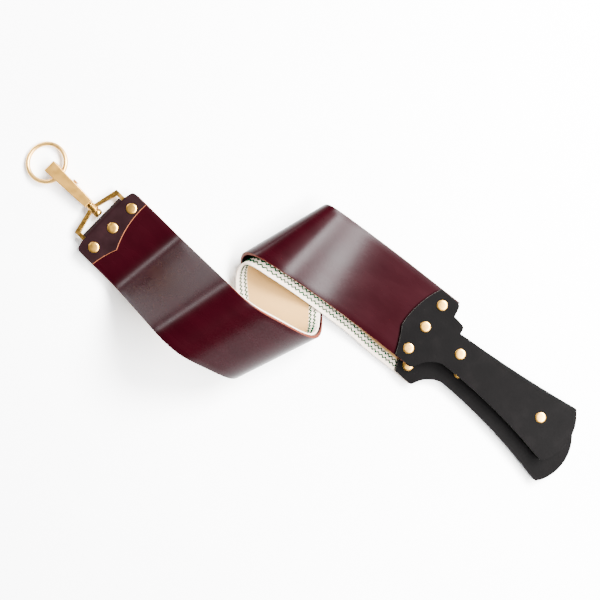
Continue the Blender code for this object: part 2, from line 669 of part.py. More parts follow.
# ====================================================================================================
# handles
# ====================================================================================================
def handle_outline():
    """Plan of a handle leaf, far side first, then the butt, then the near side."""
    edge = bowed(HEAD_NEAR_CORNER, HEAD_POINT, HEAD_EDGE_BOW[1], 6)
    edge += bowed(HEAD_POINT, HEAD_FAR_CORNER, HEAD_EDGE_BOW[0], 8)
    low_step, shelf, high_step = FAR_STEPS
    far = [HEAD_FAR_CORNER] + rounded(FAR_EAR, HEAD_FAR_CORNER, low_step, 4 * MM)
    far += [low_step] + rounded(shelf, low_step, high_step, 3 * MM) + [high_step]
    far_corner, near_corner = BUTT_CORNERS
    far += bowed(FAR_WAIST, far_corner, FAR_SIDE_BOW, 6)
    far += rounded(far_corner, FAR_WAIST, (far_corner[0] + 4 * MM, 18 * MM), 2.5 * MM)
    butt = bowed((far_corner[0] + 2 * MM, far_corner[1] - 3.5 * MM), near_corner, BUTT_BOW, 10)
    near = rounded(near_corner, (near_corner[0] + 2 * MM, -26 * MM),
                   (near_corner[0] - 10 * MM, near_corner[1] + 1.4 * MM), 2 * MM)
    near += bowed((near_corner[0] - 9 * MM, near_corner[1] + 1.6 * MM), NEAR_COVE[1], NEAR_SIDE_BOW, 7)
    cove_start = (NEAR_EAR[0] + 1.2 * MM, NEAR_EAR[1] + 3.0 * MM)
    near += bowed(NEAR_COVE[1], cove_start, -3.4 * MM, 8)
    near += rounded(NEAR_EAR, cove_start, (0, NEAR_EAR[1]), 2.5 * MM)
    return edge + far + butt + near


def clip_behind(outline, limit):
    """The part of an outline with x above a limit."""
    kept = []
    for (ax, ay), (bx, by) in zip(outline, outline[1:] + outline[:1]):
        if ax > limit:
            kept.append((ax, ay))
        if (ax > limit) != (bx > limit):
            t = (limit - ax) / (bx - ax)
            kept.append((limit, ay + t * (by - ay)))
    return kept


def make_handle(prefix, frame, low, core):
    """Two leaves, a filler ply and five rivets, placed by a frame. core is the ply's thickness."""
    holes = [(x, y, RIVET_HOLE_R) for x, y in HANDLE_RIVETS]
    outline = handle_outline()
    bottom_mid = low + LEAF / 2
    core_mid = low + LEAF + GAP + core / 2
    top_mid = low + LEAF + 2 * GAP + core + LEAF / 2
    plies = (
        ("handle_bottom_leaf", outline, LEAF, bottom_mid, holes),
        ("handle_core", clip_behind(outline, CORE_START), core, core_mid, holes[3:]),
        ("handle_top_leaf", outline, LEAF, top_mid, holes),
    )
    for name, shape, thickness, height, cuts in plies:
        full = f"{prefix}_{name}"
        ply = add_object(full, plate_mesh(full, shape, thickness, cuts), "black_leather")
        ply.matrix_world = Matrix.Translation((0, 0, height)) @ frame
    names = ("head_far", "head_middle", "head_near", "neck", "butt")
    for name, place in zip(names, HANDLE_RIVETS):
        add_rivet(f"{prefix}_rivet_{name}", frame, place, low, low + 2 * LEAF + 2 * GAP + core)


def flat_frame(point, heading):
    """A frame at z = 0 under a point, turned about Z."""
    return Matrix.Translation((point.x, point.y, 0)) @ Matrix.Rotation(heading, 4, "Z")


def pierce(strap, frame, places):
    """Rivet holes through a strap."""
    for i, place in enumerate(places):
        spot = frame @ Vector((*place, 0))
        name = f"{strap.name}_hole_{i}"
        hole = cylinder_mesh(name, RIVET_HOLE_R, (-5 * MM, 40 * MM), "Z", (spot.x, spot.y), 12)
        combine(strap, add_cutter(name, hole), "DIFFERENCE")


# ====================================================================================================
# straps
# ====================================================================================================
def lead_in(frames, length):
    """Frames for the short flat stretch of strap inside the chape, ahead of its rivets."""
    _, point, _, _, _, _ = frames[0]
    start = Vector((-length, 0, point.z))
    return [(-length, start, Vector((1, 0, 0)), Vector((0, 0, 1)), Vector((0, 1, 0)), 0)]


def make_straps():
    """Both straps, each with its end tab inside its handle. Returns the two handles' frames."""
    leather = strap_path()
    webbing = webbing_path(leather)
    across = [(0, y) for y in (RIVET_PITCH, 0, -RIVET_PITCH)]
    handles = []
    runs = (("leather_strop", "front_strap_tab", leather, STRAP_LENGTH, LEATHER, "burgundy_leather", 0),
            ("webbing_strop", "rear_strap_tab", webbing, STRAP_LENGTH + REAR_AHEAD, WEBBING, "webbing",
             REAR_TURN))
    for name, tab_name, frames, length, thickness, colour, turn in runs:
        heading = math.radians(HANDLE_HEADING + turn)
        split = length - TAB_AHEAD
        main = lead_in(frames, STRAP_TAIL) + run_between(frames, 0, split - GAP / 2)
        strap = strap_object(name, main, thickness, colour)
        pierce(strap, Matrix.Identity(4), across)
        end = frames[-1][1]
        flat = flat_frame(end, heading)
        handles.append(flat)
        tab_mid = Matrix.Translation((0, 0, end.z)) @ flat
        half = STRAP_WIDTH / 2
        tab_outline = [(-TAB_AHEAD + GAP / 2, -half), (12 * MM, -half), (16 * MM, -21 * MM),
                       (CORE_START - GAP, -20 * MM), (CORE_START - GAP, 22 * MM), (14 * MM, 22.5 * MM),
                       (10 * MM, half - 1 * MM), (-TAB_AHEAD + GAP / 2, half)]
        holes = [(x, y, RIVET_HOLE_R) for x, y in HANDLE_RIVETS[:3]]
        tab = add_object(tab_name, plate_mesh(tab_name, tab_outline, thickness, holes), colour)
        tab.matrix_world = tab_mid
    return handles


# ====================================================================================================
# assembly
# ====================================================================================================
def centre_part():
    """Move every piece and cutter so that the part stands centred over the origin."""
    bpy.context.view_layer.update()
    depsgraph = bpy.context.evaluated_depsgraph_get()
    corners = []
    for obj in PARTS.objects:
        shown = obj.evaluated_get(depsgraph)
        mesh = shown.to_mesh()
        corners += [obj.matrix_world @ vertex.co for vertex in mesh.vertices]
        shown.to_mesh_clear()
    lows = [min(corner[k] for corner in corners) for k in range(3)]
    highs = [max(corner[k] for corner in corners) for k in range(3)]
    shift = Vector((-(lows[0] + highs[0]) / 2, -(lows[1] + highs[1]) / 2, -lows[2]))
    for obj in list(PARTS.objects) + list(CUTTERS.objects):
        obj.location += shift
    return shift


def main():
    """Build the whole strop."""
    make_chape()
    make_bail()
    make_swivel_stud()
    make_snap_body()
    make_gate_bolt()
    make_gate_spring()
    make_ring()
    add_chape_rivets()
    front, rear = make_straps()
    make_handle("front", front, FRONT_LOW, LEATHER)
    make_handle("rear", rear, REAR_LOW, WEBBING)
    centre_part()


clear_scene()
PARTS = make_collection("hanging_razor_strop")
CUTTERS = make_collection("cutters")
main()
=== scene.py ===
"""Hanging razor strop: the visible surfaces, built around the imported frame.

The file is laid out as a Blender add-on. Each group of pieces has an operator, and the panel lists them.
Lengths are in metres. +X runs from the ring towards the handles, and +Z is up off the table.
"""
import json
import math

import bmesh
import bpy
from mathutils import Matrix, Vector

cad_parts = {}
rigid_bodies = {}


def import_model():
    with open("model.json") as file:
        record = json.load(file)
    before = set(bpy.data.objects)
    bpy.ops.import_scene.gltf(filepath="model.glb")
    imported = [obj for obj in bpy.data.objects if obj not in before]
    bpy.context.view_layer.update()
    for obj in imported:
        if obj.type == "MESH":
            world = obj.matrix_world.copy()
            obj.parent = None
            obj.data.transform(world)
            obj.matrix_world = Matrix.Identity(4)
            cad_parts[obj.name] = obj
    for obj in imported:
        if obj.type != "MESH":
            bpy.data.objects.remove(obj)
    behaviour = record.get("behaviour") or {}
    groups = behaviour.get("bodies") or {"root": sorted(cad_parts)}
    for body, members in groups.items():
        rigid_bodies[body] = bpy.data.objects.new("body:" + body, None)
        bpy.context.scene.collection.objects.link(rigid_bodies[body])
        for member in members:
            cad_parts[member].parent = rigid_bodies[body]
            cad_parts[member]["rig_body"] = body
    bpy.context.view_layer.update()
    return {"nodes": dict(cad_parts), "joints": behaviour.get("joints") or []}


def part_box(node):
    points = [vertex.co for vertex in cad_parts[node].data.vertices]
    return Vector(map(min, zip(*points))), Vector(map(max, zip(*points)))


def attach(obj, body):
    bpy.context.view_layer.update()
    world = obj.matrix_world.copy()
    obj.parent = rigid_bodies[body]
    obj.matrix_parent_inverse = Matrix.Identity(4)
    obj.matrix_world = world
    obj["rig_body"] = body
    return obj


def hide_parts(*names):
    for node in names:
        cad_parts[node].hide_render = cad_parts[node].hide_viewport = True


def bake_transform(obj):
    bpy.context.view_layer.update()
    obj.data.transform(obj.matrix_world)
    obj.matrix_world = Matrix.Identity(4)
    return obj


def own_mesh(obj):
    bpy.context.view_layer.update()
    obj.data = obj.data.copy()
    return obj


bl_info = {
    "name": "Hanging razor strop",
    "version": (1, 0, 0),
    "blender": (4, 5, 0),
    "location": "View3D > Sidebar > Strop",
    "description": "Builds a hanging razor strop with leather, webbing, handles and brass fittings",
    "category": "Add Mesh",
}

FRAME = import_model()
MM = 0.001
NODES = FRAME["nodes"]
JOINTS = {joint["name"]: joint for joint in FRAME["joints"]}


def node_middle(name):
    """Middle of a CAD node's box."""
    low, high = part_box(name)
    return (low + high) / 2


CHAPE_SPOT = node_middle("chape_rivet_middle_cap")          # the middle chape rivet
SHIFT = Vector((CHAPE_SPOT.x, CHAPE_SPOT.y, 0))

# ---- the strap's lie, as in the CAD part -------------------------------------------------------------
LEATHER = 3.4 * MM
WEBBING = 2.4 * MM
STRAP_WIDTH = 76.2 * MM
STRAP_LENGTH = 555.5 * MM
STRAP_TAIL = 6 * MM
STRAP_MID = 8.5 * MM
FRONT_MID = 15.9 * MM
REAR_MID = 5.5 * MM
WEB_BEHIND = 3.2 * MM
BENDS = (
    (42.9 * MM, 59.9 * MM, -48.7),
    (156.0 * MM, 82.4 * MM, 93.4),
    (263.3 * MM, 112.5 * MM, 142.9),
    (317.6 * MM, 90.0 * MM, -14.7),
    (389.2 * MM, 109.2 * MM, 208.2),
    (475.9 * MM, 104.4 * MM, -23.4),
)
SETTLE = (STRAP_LENGTH - 150 * MM, STRAP_LENGTH - 30 * MM)
LEAN = (
    (0, 0), (42.9 * MM, 6.2), (156.0 * MM, 15.8), (263.3 * MM, 25.3), (389.2 * MM, 29.5), (429.2 * MM, 9.5),
    (475.9 * MM, 3.9), (SETTLE[1], 0),
)
HANDLE_HEADING = 6.2
REAR_TURN = -2.0
REAR_AHEAD = 11.5 * MM
REAR_ASIDE = 12.7 * MM
TAB_AHEAD = 22 * MM
STRAP_STEPS = 130
FINE = 3                                   # finer steps than the CAD part's
WEB_LAY = (
    (0, WEB_BEHIND, 0), (200 * MM, WEB_BEHIND, 0), (300 * MM, WEB_BEHIND + 0.4 * MM, 2 * MM),
    (385 * MM, 7.5 * MM, 7 * MM), (420 * MM, 7.0 * MM, 10.5 * MM), (500 * MM, 8.0 * MM, 11 * MM),
    (STRAP_LENGTH - TAB_AHEAD, FRONT_MID - REAR_MID, REAR_ASIDE),
)
TAB_BEHIND = 12 * MM                       # strap that runs on behind the handle's first rivets
BEND_AHEAD, BEND_BEHIND = 14 * MM, 6 * MM  # how far the span about a handle's hinge reaches ahead of it and behind it
STRAP_COLUMNS = 12

# ---- finish of the edges and the brass ---------------------------------------------------------------
SELVEDGE_ROUNDING = 0.9 * MM
CHAPE_ROUNDING = 0.85 * MM
CHAPE_FRONT_DEPTH = 13 * MM                # how far the chape's curved front edge reaches back
LEAF_ROUNDING, CORE_ROUNDING = 0.7 * MM, 0.25 * MM
HEAD_EDGE = 4 * MM                         # the head's front edge starts this far ahead of its rivets
LEVEL, UPRIGHT = 0.97, 0.3                 # upward part of a face's normal
BAIL_ROUNDING = 0.55 * MM
CAP_LIFT = 0.15 * MM                       # a rivet cap's rim above the leather
POST_RADIUS = 2.3 * MM
RIVET_SIDES = 40
FULL_TURN = 6.28
STUD_PROFILE = (                           # radius and place ahead of the chape rivets, in mm
    (0, -17.9), (1.6, -17.95), (2.9, -18.2), (3.7, -18.8), (4.1, -19.7), (4.2, -20.6), (4.2, -22.2),
    (4.0, -22.8), (3.4, -23.2), (2.2, -23.25), (2.2, -30.2), (3.4, -30.25), (3.85, -30.45),
    (3.9, -30.9), (3.85, -31.35), (3.5, -31.6), (3.0, -31.65), (3.0, -32.2), (1.6, -32.25),
    (1.6, -40.0), (0, -40.0),
)


# ======================================================================================================
# settings
# ======================================================================================================
class StropLeather(bpy.types.PropertyGroup):
    """Sizes and colours of the leather pieces."""
    burgundy: bpy.props.FloatVectorProperty(
        name="Strap colour", description="Colour of the leather strap",
        subtype="COLOR", size=3, default=(0.0066, 0.0002, 0.0009))
    chape: bpy.props.FloatVectorProperty(
        name="Chape colour", description="Colour of the leather round the bail",
        subtype="COLOR", size=3, default=(0.0045, 0.0010, 0.0014))
    black: bpy.props.FloatVectorProperty(
        name="Handle colour", description="Colour of the handle leather",
        subtype="COLOR", size=3, default=(0.0011, 0.0009, 0.0009))
    cut_edge: bpy.props.FloatVectorProperty(
        name="Cut edge colour", description="Raw edge of the strap leather",
        subtype="COLOR", size=3, default=(0.085, 0.020, 0.011))
    chape_edge: bpy.props.FloatVectorProperty(
        name="Chape edge colour", description="Raw front edge of the chape",
        subtype="COLOR", size=3, default=(0.24, 0.075, 0.032))
    edge_round: bpy.props.FloatProperty(
        name="Edge rounding", description="Rounding of the leather's cut edges",
        unit="LENGTH", default=0.55 * MM)


class StropWebbing(bpy.types.PropertyGroup):
    """Sizes and colours of the webbing and its stitches."""
    cloth: bpy.props.FloatVectorProperty(
        name="Cloth colour", description="Colour of the woven strap",
        subtype="COLOR", size=3, default=(0.33, 0.185, 0.062))
    thread: bpy.props.FloatVectorProperty(
        name="Stitch colour", description="Colour of the zigzag stitches",
        subtype="COLOR", size=3, default=(0.0, 0.026, 0.0085))
    zigzag_pitch: bpy.props.FloatProperty(
        name="Zigzag pitch", description="Length of one zigzag along the strap",
        unit="LENGTH", default=4.2 * MM)
    zigzag_width: bpy.props.FloatProperty(
        name="Zigzag width", description="Width of one row of zigzag",
        unit="LENGTH", default=1.9 * MM)
    thread_radius: bpy.props.FloatProperty(
        name="Thread radius", description="Radius of the stitching thread",
        unit="LENGTH", default=0.85 * MM)
    edge_to_rows: bpy.props.FloatProperty(
        name="Edge to stitches", description="From the selvedge to the rows' middle",
        unit="LENGTH", default=7.0 * MM)
    row_gap: bpy.props.FloatProperty(
        name="Row distance", description="Between the two rows of a stripe",
        unit="LENGTH", default=4.2 * MM)


class StropBrass(bpy.types.PropertyGroup):
    """Sizes and colours of the brass fittings."""
    metal: bpy.props.FloatVectorProperty(
        name="Brass colour", description="Colour of the brass fittings",
        subtype="COLOR", size=3, default=(0.50, 0.265, 0.050))
    ring_metal: bpy.props.FloatVectorProperty(
        name="Ring colour", description="Colour of the ring",
        subtype="COLOR", size=3, default=(0.62, 0.36, 0.095))
    cap_radius: bpy.props.FloatProperty(
        name="Rivet radius", description="Radius of a rivet's cap",
        unit="LENGTH", default=5.2 * MM)
    cap_dome: bpy.props.FloatProperty(
        name="Rivet dome", description="Height of a rivet's cap",
        unit="LENGTH", default=1.25 * MM)


SETTINGS = {"strop_leather": StropLeather, "strop_webbing": StropWebbing, "strop_brass": StropBrass}


# ======================================================================================================
# the strap's path
# ======================================================================================================
def smooth_step(value, low, high):
    """0 below low, 1 above high, smooth between."""
    t = min(1, max(0, (value - low) / (high - low)))
    return t * t * (3 - 2 * t)


def along_stations(value, stations, column):
    """A column of a station list, eased smoothly from station to station."""
    if value <= stations[0][0]:
        return stations[0][column]
    for lower, upper in zip(stations, stations[1:]):
        if value <= upper[0]:
            ease = smooth_step(value, lower[0], upper[0])
            return lower[column] + ease * (upper[column] - lower[column])
    return stations[-1][column]


def bend_rate(place):
    """Degrees turned down per metre of strap at a place along it."""
    rate = 0
    for middle, spread, turn in BENDS:
        x = (place - middle) / (spread / 2)
        if abs(x) < 1:
            rate += turn * (1 + math.cos(math.pi * x)) / spread
    return rate


def fold_direction(tangent, normal, place):
    """Direction of the straight line across the strap at a place."""
    lean = math.radians(along_stations(place, LEAN, 1))
    return normal.cross(tangent) * math.cos(lean) + tangent * math.sin(lean)


def strap_path():
    """Frames down the middle of the leather strap: (place, point, tangent, normal, fold line, lean)."""
    count = STRAP_STEPS * FINE
    step = STRAP_LENGTH / count
    tangent, normal = Vector((1, 0, 0)), Vector((0, 0, 1))
    raw = [(tangent.copy(), normal.copy())]
    for i in range(count):
        place = (i + 0.5) * step
        fold = fold_direction(tangent, normal, place)
        turn = Matrix.Rotation(math.radians(bend_rate(place)) * step, 3, fold)
        tangent, normal = turn @ tangent, turn @ normal
        raw.append((tangent.copy(), normal.copy()))
    heading = math.radians(HANDLE_HEADING)
    flat = Vector((math.cos(heading), math.sin(heading), 0))
    settled = []
    for i, (tangent, normal) in enumerate(raw):
        ease = smooth_step(i * step, *SETTLE)
        tangent = tangent.lerp(flat, ease).normalized()
        normal = normal.lerp(Vector((0, 0, 1)), ease)
        normal = (normal - tangent * normal.dot(tangent)).normalized()
        settled.append((tangent, normal))
    points = [Vector((0, 0, STRAP_MID)) + SHIFT]
    for (first, _), (second, _) in zip(settled, settled[1:]):
        points.append(points[-1] + (first + second).normalized() * step)
    drop = FRONT_MID - points[-1].z
    frames = []
    for i, (tangent, normal) in enumerate(settled):
        place = i * step
        point = points[i] + Vector((0, 0, drop * smooth_step(place, *SETTLE)))
        lean = math.radians(along_stations(place, LEAN, 1))
        frames.append((place, point, tangent, normal, fold_direction(tangent, normal, place), lean))
    return frames


def webbing_path(leather):
    """Frames down the middle of the webbing, lying behind the leather."""
    _, end, tangent, normal, side, _ = leather[-1]
    further = [(STRAP_LENGTH + REAR_AHEAD * t, end + tangent * REAR_AHEAD * t, tangent, normal, side, 0)
               for t in (1 / 3, 2 / 3, 1)]
    turned = Matrix.Rotation(math.radians(REAR_TURN), 3, "Z")
    result = []
    for place, point, tangent, normal, side, lean in list(leather) + further:
        behind = along_stations(place, WEB_LAY, 1)
        slip = along_stations(place, WEB_LAY, 2)
        swing = smooth_step(place, SETTLE[1] - 60 * MM, SETTLE[1] - 5 * MM)
        middle = point - normal * behind - side * slip
        side = side.lerp(turned @ side, swing).normalized()
        heading = tangent.lerp(turned @ tangent, swing).normalized()
        result.append((place, middle, heading, normal, side, lean))
    return result


def run_on(frames, before, after):
    """The frames with a straight piece ahead of the first and behind the last."""
    place, point, tangent, normal, side, lean = frames[0]
    first = [(place - before * t, point - tangent * before * t, tangent, normal, side, lean)
             for t in (1, 0.5)]
    place, point, tangent, normal, side, lean = frames[-1]
    last = [(place + after * t, point + tangent * after * t, tangent, normal, side, lean)
            for t in (0.25, 0.5, 0.75, 1)]
    return first + list(frames) + last


LEATHER_PATH = strap_path()
WEB_PATH = webbing_path(LEATHER_PATH)


def point_on(frame, across, lift):
    """A point of the strap: across from -1, near edge, to 1, far edge, and lifted off its middle layer."""
    _, point, _, normal, side, lean = frame
    return point + side * (across * STRAP_WIDTH / 2 / math.cos(lean)) + normal * lift


# ======================================================================================================
# mesh helpers
# ======================================================================================================
def new_object(name, mesh, materials, smooth=True):
    """An object in the scene with its materials."""
    obj = bpy.data.objects.new(name, mesh)
    bpy.context.scene.collection.objects.link(obj)
    mesh.materials.clear()
    for material in materials:
        mesh.materials.append(material)
    if smooth:
        mesh.shade_smooth()
        mesh.set_sharp_from_angle(angle=math.radians(42))
    return obj


def plain_mesh(obj):
    """Apply an object's modifiers by replacing its mesh with the evaluated one."""
    bpy.context.view_layer.update()
    shown = obj.evaluated_get(bpy.context.evaluated_depsgraph_get())
    mesh = bpy.data.meshes.new_from_object(shown)
    obj.modifiers.clear()
    obj.data = mesh
    mesh.name = obj.name
    return obj


def strap_mesh(name, frames, columns):
    """A ruled sheet along the frames with a UV map in metres: u along the strap, v across it."""
    mesh = bpy.data.meshes.new(name)
    shape = bmesh.new()
    rows = []
    for frame in frames:
        rows.append([shape.verts.new(point_on(frame, 2 * j / columns - 1, 0)) for j in range(columns + 1)])
    uv = shape.loops.layers.uv.new("lay")
    for i in range(len(frames) - 1):
        for j in range(columns):
            corners = ((i, j), (i + 1, j), (i + 1, j + 1), (i, j + 1))
            face = shape.faces.new([rows[a][b] for a, b in corners])
            for loop, (a, b) in zip(face.loops, corners):
                v = (2 * b / columns - 1) * STRAP_WIDTH / 2
                loop[uv].uv = (frames[a][0] + v * math.tan(frames[a][5]), v)
    shape.to_mesh(mesh)
    shape.free()
    return mesh


def strap_solid(name, frames, columns, thickness, rounding, materials):
    """A strap of even thickness with rounded edges, its rim in the second material."""
    obj = new_object(name, strap_mesh(name, frames, columns), materials)
    solid = obj.modifiers.new("thickness", "SOLIDIFY")
    solid.thickness = thickness
    solid.offset = 0
    solid.use_even_offset = True
    solid.material_offset_rim = 1
    edge = obj.modifiers.new("rounded", "BEVEL")
    edge.width = rounding
    edge.segments = 3
    edge.limit_method = "ANGLE"
    edge.angle_limit = math.radians(60)
    plain_mesh(obj)
    obj.data.shade_smooth()
    return obj


def merged_copy(node, name):
    """A bmesh copy of a CAD node with its triangles joined and its flat faces made whole."""
    shape = bmesh.new()
    shape.from_mesh(NODES[node].data)
    bmesh.ops.remove_doubles(shape, verts=shape.verts, dist=0.002 * MM)
    bmesh.ops.dissolve_limit(shape, angle_limit=math.radians(0.4), verts=shape.verts, edges=shape.edges)
    mesh = bpy.data.meshes.new(name)
    shape.to_mesh(mesh)
    shape.free()
    return mesh


def refined(node, name, materials, rounding, segments=2, angle=50, body=None):
    """A CAD node's shape with rounded edges, shown in its place."""
    obj = new_object(name, merged_copy(node, name), materials)
    if rounding:
        edge = obj.modifiers.new("rounded", "BEVEL")
        edge.width = rounding
        edge.segments = segments
        edge.limit_method = "ANGLE"
        edge.angle_limit = math.radians(angle)
        edge.use_clamp_overlap = True
    even = obj.modifiers.new("even_shading", "WEIGHTED_NORMAL")
    even.weight = 100
    even.keep_sharp = True
    plain_mesh(obj)
    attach(obj, body or NODES[node]["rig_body"])
    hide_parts(node)
    return obj


def lathe_mesh(name, profile, sides, matrix=None):
    """A turned shape. The profile is (radius, height), from the top of the axis down the outside."""
    shape = bmesh.new()
    rings = []
    for radius, height in profile:
        if radius < 1e-7:
            rings.append([shape.verts.new((0, 0, height))])
        else:
            rings.append([shape.verts.new((radius * math.cos(2 * math.pi * i / sides),
                                           radius * math.sin(2 * math.pi * i / sides), height))
                          for i in range(sides)])
    for upper, lower in zip(rings, rings[1:]):
        for i in range(sides):
            k = (i + 1) % sides
            if len(upper) == 1:
                shape.faces.new((upper[0], lower[i], lower[k]))
            elif len(lower) == 1:
                shape.faces.new((upper[i], lower[0], upper[k]))
            else:
                shape.faces.new((upper[i], lower[i], lower[k], upper[k]))
    bmesh.ops.recalc_face_normals(shape, faces=shape.faces)
    if matrix is not None:
        bmesh.ops.transform(shape, matrix=matrix, verts=shape.verts)
    mesh = bpy.data.meshes.new(name)
    shape.to_mesh(mesh)
    shape.free()
    return mesh


# ======================================================================================================
# materials
# ======================================================================================================
class Nodes:
    """Short names for building a material's node tree."""

    def __init__(self, name):
        self.material = bpy.data.materials.new(name)
        self.material.use_nodes = True
        self.tree = self.material.node_tree
        self.shader = self.tree.nodes["Principled BSDF"]
        self.coords = self.tree.nodes.new("ShaderNodeTexCoord")

    def add(self, kind, **values):
        node = self.tree.nodes.new(kind)
        for key, value in values.items():
            setattr(node, key, value)
        return node

    def link(self, source, target):
        self.tree.links.new(source, target)

    def mapping(self, scale, source="Object"):
        node = self.add("ShaderNodeMapping")
        node.inputs["Scale"].default_value = scale
        self.link(self.coords.outputs[source], node.inputs["Vector"])
        return node.outputs["Vector"]

    def noise(self, vector, scale, detail=4, roughness=0.55):
        node = self.add("ShaderNodeTexNoise")
        node.inputs["Scale"].default_value = scale
        node.inputs["Detail"].default_value = detail
        node.inputs["Roughness"].default_value = roughness
        self.link(vector, node.inputs["Vector"])
        return node.outputs["Fac"]

    def ramp(self, source, stops):
        node = self.add("ShaderNodeValToRGB")
        elements = node.color_ramp.elements
        while len(elements) < len(stops):
            elements.new(0.5)
        for element, (place, colour) in zip(elements, stops):
            element.position = place
            element.color = (*colour, 1) if len(colour) == 3 else colour
        self.link(source, node.inputs["Fac"])
        return node.outputs["Color"]

    def spread(self, source, low, high, from_low=0.3, from_high=0.7):
        node = self.add("ShaderNodeMapRange")
        for key, value in (("From Min", from_low), ("From Max", from_high),
                           ("To Min", low), ("To Max", high)):
            node.inputs[key].default_value = value
        self.link(source, node.inputs["Value"])
        return node.outputs["Result"]

    def maths(self, operation, first, second):
        node = self.add("ShaderNodeMath", operation=operation)
        for socket, value in zip(node.inputs, (first, second)):
            if isinstance(value, (int, float)):
                socket.default_value = value
            else:
                self.link(value, socket)
        return node.outputs["Value"]

    def bump(self, height, strength, distance, previous=None):
        node = self.add("ShaderNodeBump")
        node.inputs["Strength"].default_value = strength
        node.inputs["Distance"].default_value = distance
        self.link(height, node.inputs["Height"])
        if previous is not None:
            self.link(previous, node.inputs["Normal"])
        return node.outputs["Normal"]

    def finish(self, **values):
        """Set or link the shader's own sockets."""
        for key, value in values.items():
            socket = self.shader.inputs[key.replace("_", " ")]
            if isinstance(value, bpy.types.NodeSocket):
                self.link(value, socket)
            else:
                socket.default_value = value
        return self.material


def scaled(colour, factor):
    """A colour made lighter or darker."""
    return tuple(min(1, c * factor) for c in colour)


def burgundy_leather(colour):
    """Smooth, waxed strap leather: deep red, with faint drawn-out cloudiness and a fine grain."""
    n = Nodes("burgundy_leather")
    lay = n.mapping((1, 1, 1), "UV")
    cloud = n.noise(n.mapping((9, 22, 1), "UV"), 2.6, 5)
    tint = n.ramp(cloud, ((0.30, scaled(colour, 0.82)), (0.55, colour), (0.78, scaled(colour, 1.18))))
    grain = n.noise(lay, 1500, 3)
    rough = n.spread(cloud, 0.25, 0.29)
    normal = n.bump(grain, 0.05, 0.04 * MM)
    return n.finish(Base_Color=tint, Roughness=rough, Normal=normal, Specular_IOR_Level=0.06)


def cut_leather(name, colour, roughness=0.6):
    """A cut, burnished leather edge with drawn-out fibres."""
    n = Nodes(name)
    fibres = n.noise(n.mapping((260, 260, 1600)), 1.2, 4)
    tint = n.ramp(fibres, ((0.32, scaled(colour, 0.55)), (0.6, colour), (0.8, scaled(colour, 1.25))))
    return n.finish(Base_Color=tint, Roughness=roughness, Normal=n.bump(fibres, 0.35, 0.1 * MM),
                    Specular_IOR_Level=0.08)


def chape_leather(colour):
    """Satin, dark brown leather with a fine grain and small rubbed patches."""
    n = Nodes("chape_leather")
    place = n.mapping((1, 1, 1))
    cloud = n.noise(place, 70, 5)
    tint = n.ramp(cloud, ((0.3, scaled(colour, 0.75)), (0.55, colour), (0.8, scaled(colour, 1.5))))
    grain = n.noise(place, 1400, 4)
    normal = n.bump(grain, 0.28, 0.06 * MM)
    normal = n.bump(n.noise(place, 160, 3), 0.15, 0.2 * MM, normal)
    return n.finish(Base_Color=tint, Roughness=n.spread(cloud, 0.42, 0.56), Normal=normal,
                    Specular_IOR_Level=0.05)


def black_leather(colour):
    """Pebbled black leather: small rounded grain with fine creases, a little uneven in shade."""
    n = Nodes("black_leather")
    place = n.mapping((1, 1, 1))
    pebble = n.add("ShaderNodeTexVoronoi", feature="SMOOTH_F1")
    pebble.inputs["Scale"].default_value = 620
    pebble.inputs["Smoothness"].default_value = 0.6
    n.link(place, pebble.inputs["Vector"])
    fine = n.noise(place, 1500, 4)
    cloud = n.noise(place, 60, 4)
    height = n.maths("ADD", n.maths("MULTIPLY", pebble.outputs["Distance"], -1.0),
                     n.maths("MULTIPLY", fine, 0.35))
    tint = n.ramp(cloud, ((0.3, scaled(colour, 0.7)), (0.55, colour), (0.8, scaled(colour, 1.8))))
    normal = n.bump(height, 0.30, 0.10 * MM)
    return n.finish(Base_Color=tint, Roughness=n.spread(fine, 0.46, 0.60), Normal=normal,
                    Specular_IOR_Level=0.02)


def woven_cloth(colour, name="webbing"):
    """Close basket weave on the strap's own map, whiter along the selvedges."""
    n = Nodes(name)
    split = n.add("ShaderNodeSeparateXYZ")
    n.link(n.coords.outputs["UV"], split.inputs["Vector"])
    along, across = split.outputs["X"], split.outputs["Y"]

    def ripple(value, pitch, phase=0.0):
        angle = n.maths("ADD", n.maths("MULTIPLY", value, 2 * math.pi / pitch), phase)
        return n.maths("SINE", angle, 0)
    warp, weft = ripple(across, 1.25 * MM), ripple(along, 1.35 * MM)
    basket = n.maths("MULTIPLY", warp, weft)
    height = n.spread(basket, 0, 1, -1, 1)
    fuzz = n.noise(n.mapping((1, 1, 1), "UV"), 1300, 4)
    slub = n.noise(n.mapping((30, 900, 1), "UV"), 1.0, 3)
    body = n.ramp(n.maths("ADD", n.maths("MULTIPLY", height, 0.62), n.maths("MULTIPLY", fuzz, 0.38)),
                  ((0.12, scaled(colour, 0.62)), (0.5, colour), (0.86, scaled(colour, 1.14))))
    white = n.spread(n.maths("ABSOLUTE", across, 0), 0, 1, 26.8 * MM, 28.4 * MM)
    mix = n.add("ShaderNodeMix", data_type="RGBA")
    n.link(white, mix.inputs["Factor"])
    n.link(body, mix.inputs[6])
    pale = n.ramp(fuzz, ((0.25, (0.40, 0.32, 0.25)), (0.6, (0.56, 0.48, 0.40)), (0.8, (0.64, 0.58, 0.51))))
    n.link(pale, mix.inputs[7])
    normal = n.bump(height, 0.75, 0.30 * MM)
    normal = n.bump(n.maths("ADD", fuzz, slub), 0.30, 0.12 * MM, normal)
    return n.finish(Base_Color=mix.outputs[2], Roughness=0.92, Normal=normal, Specular_IOR_Level=0.03)


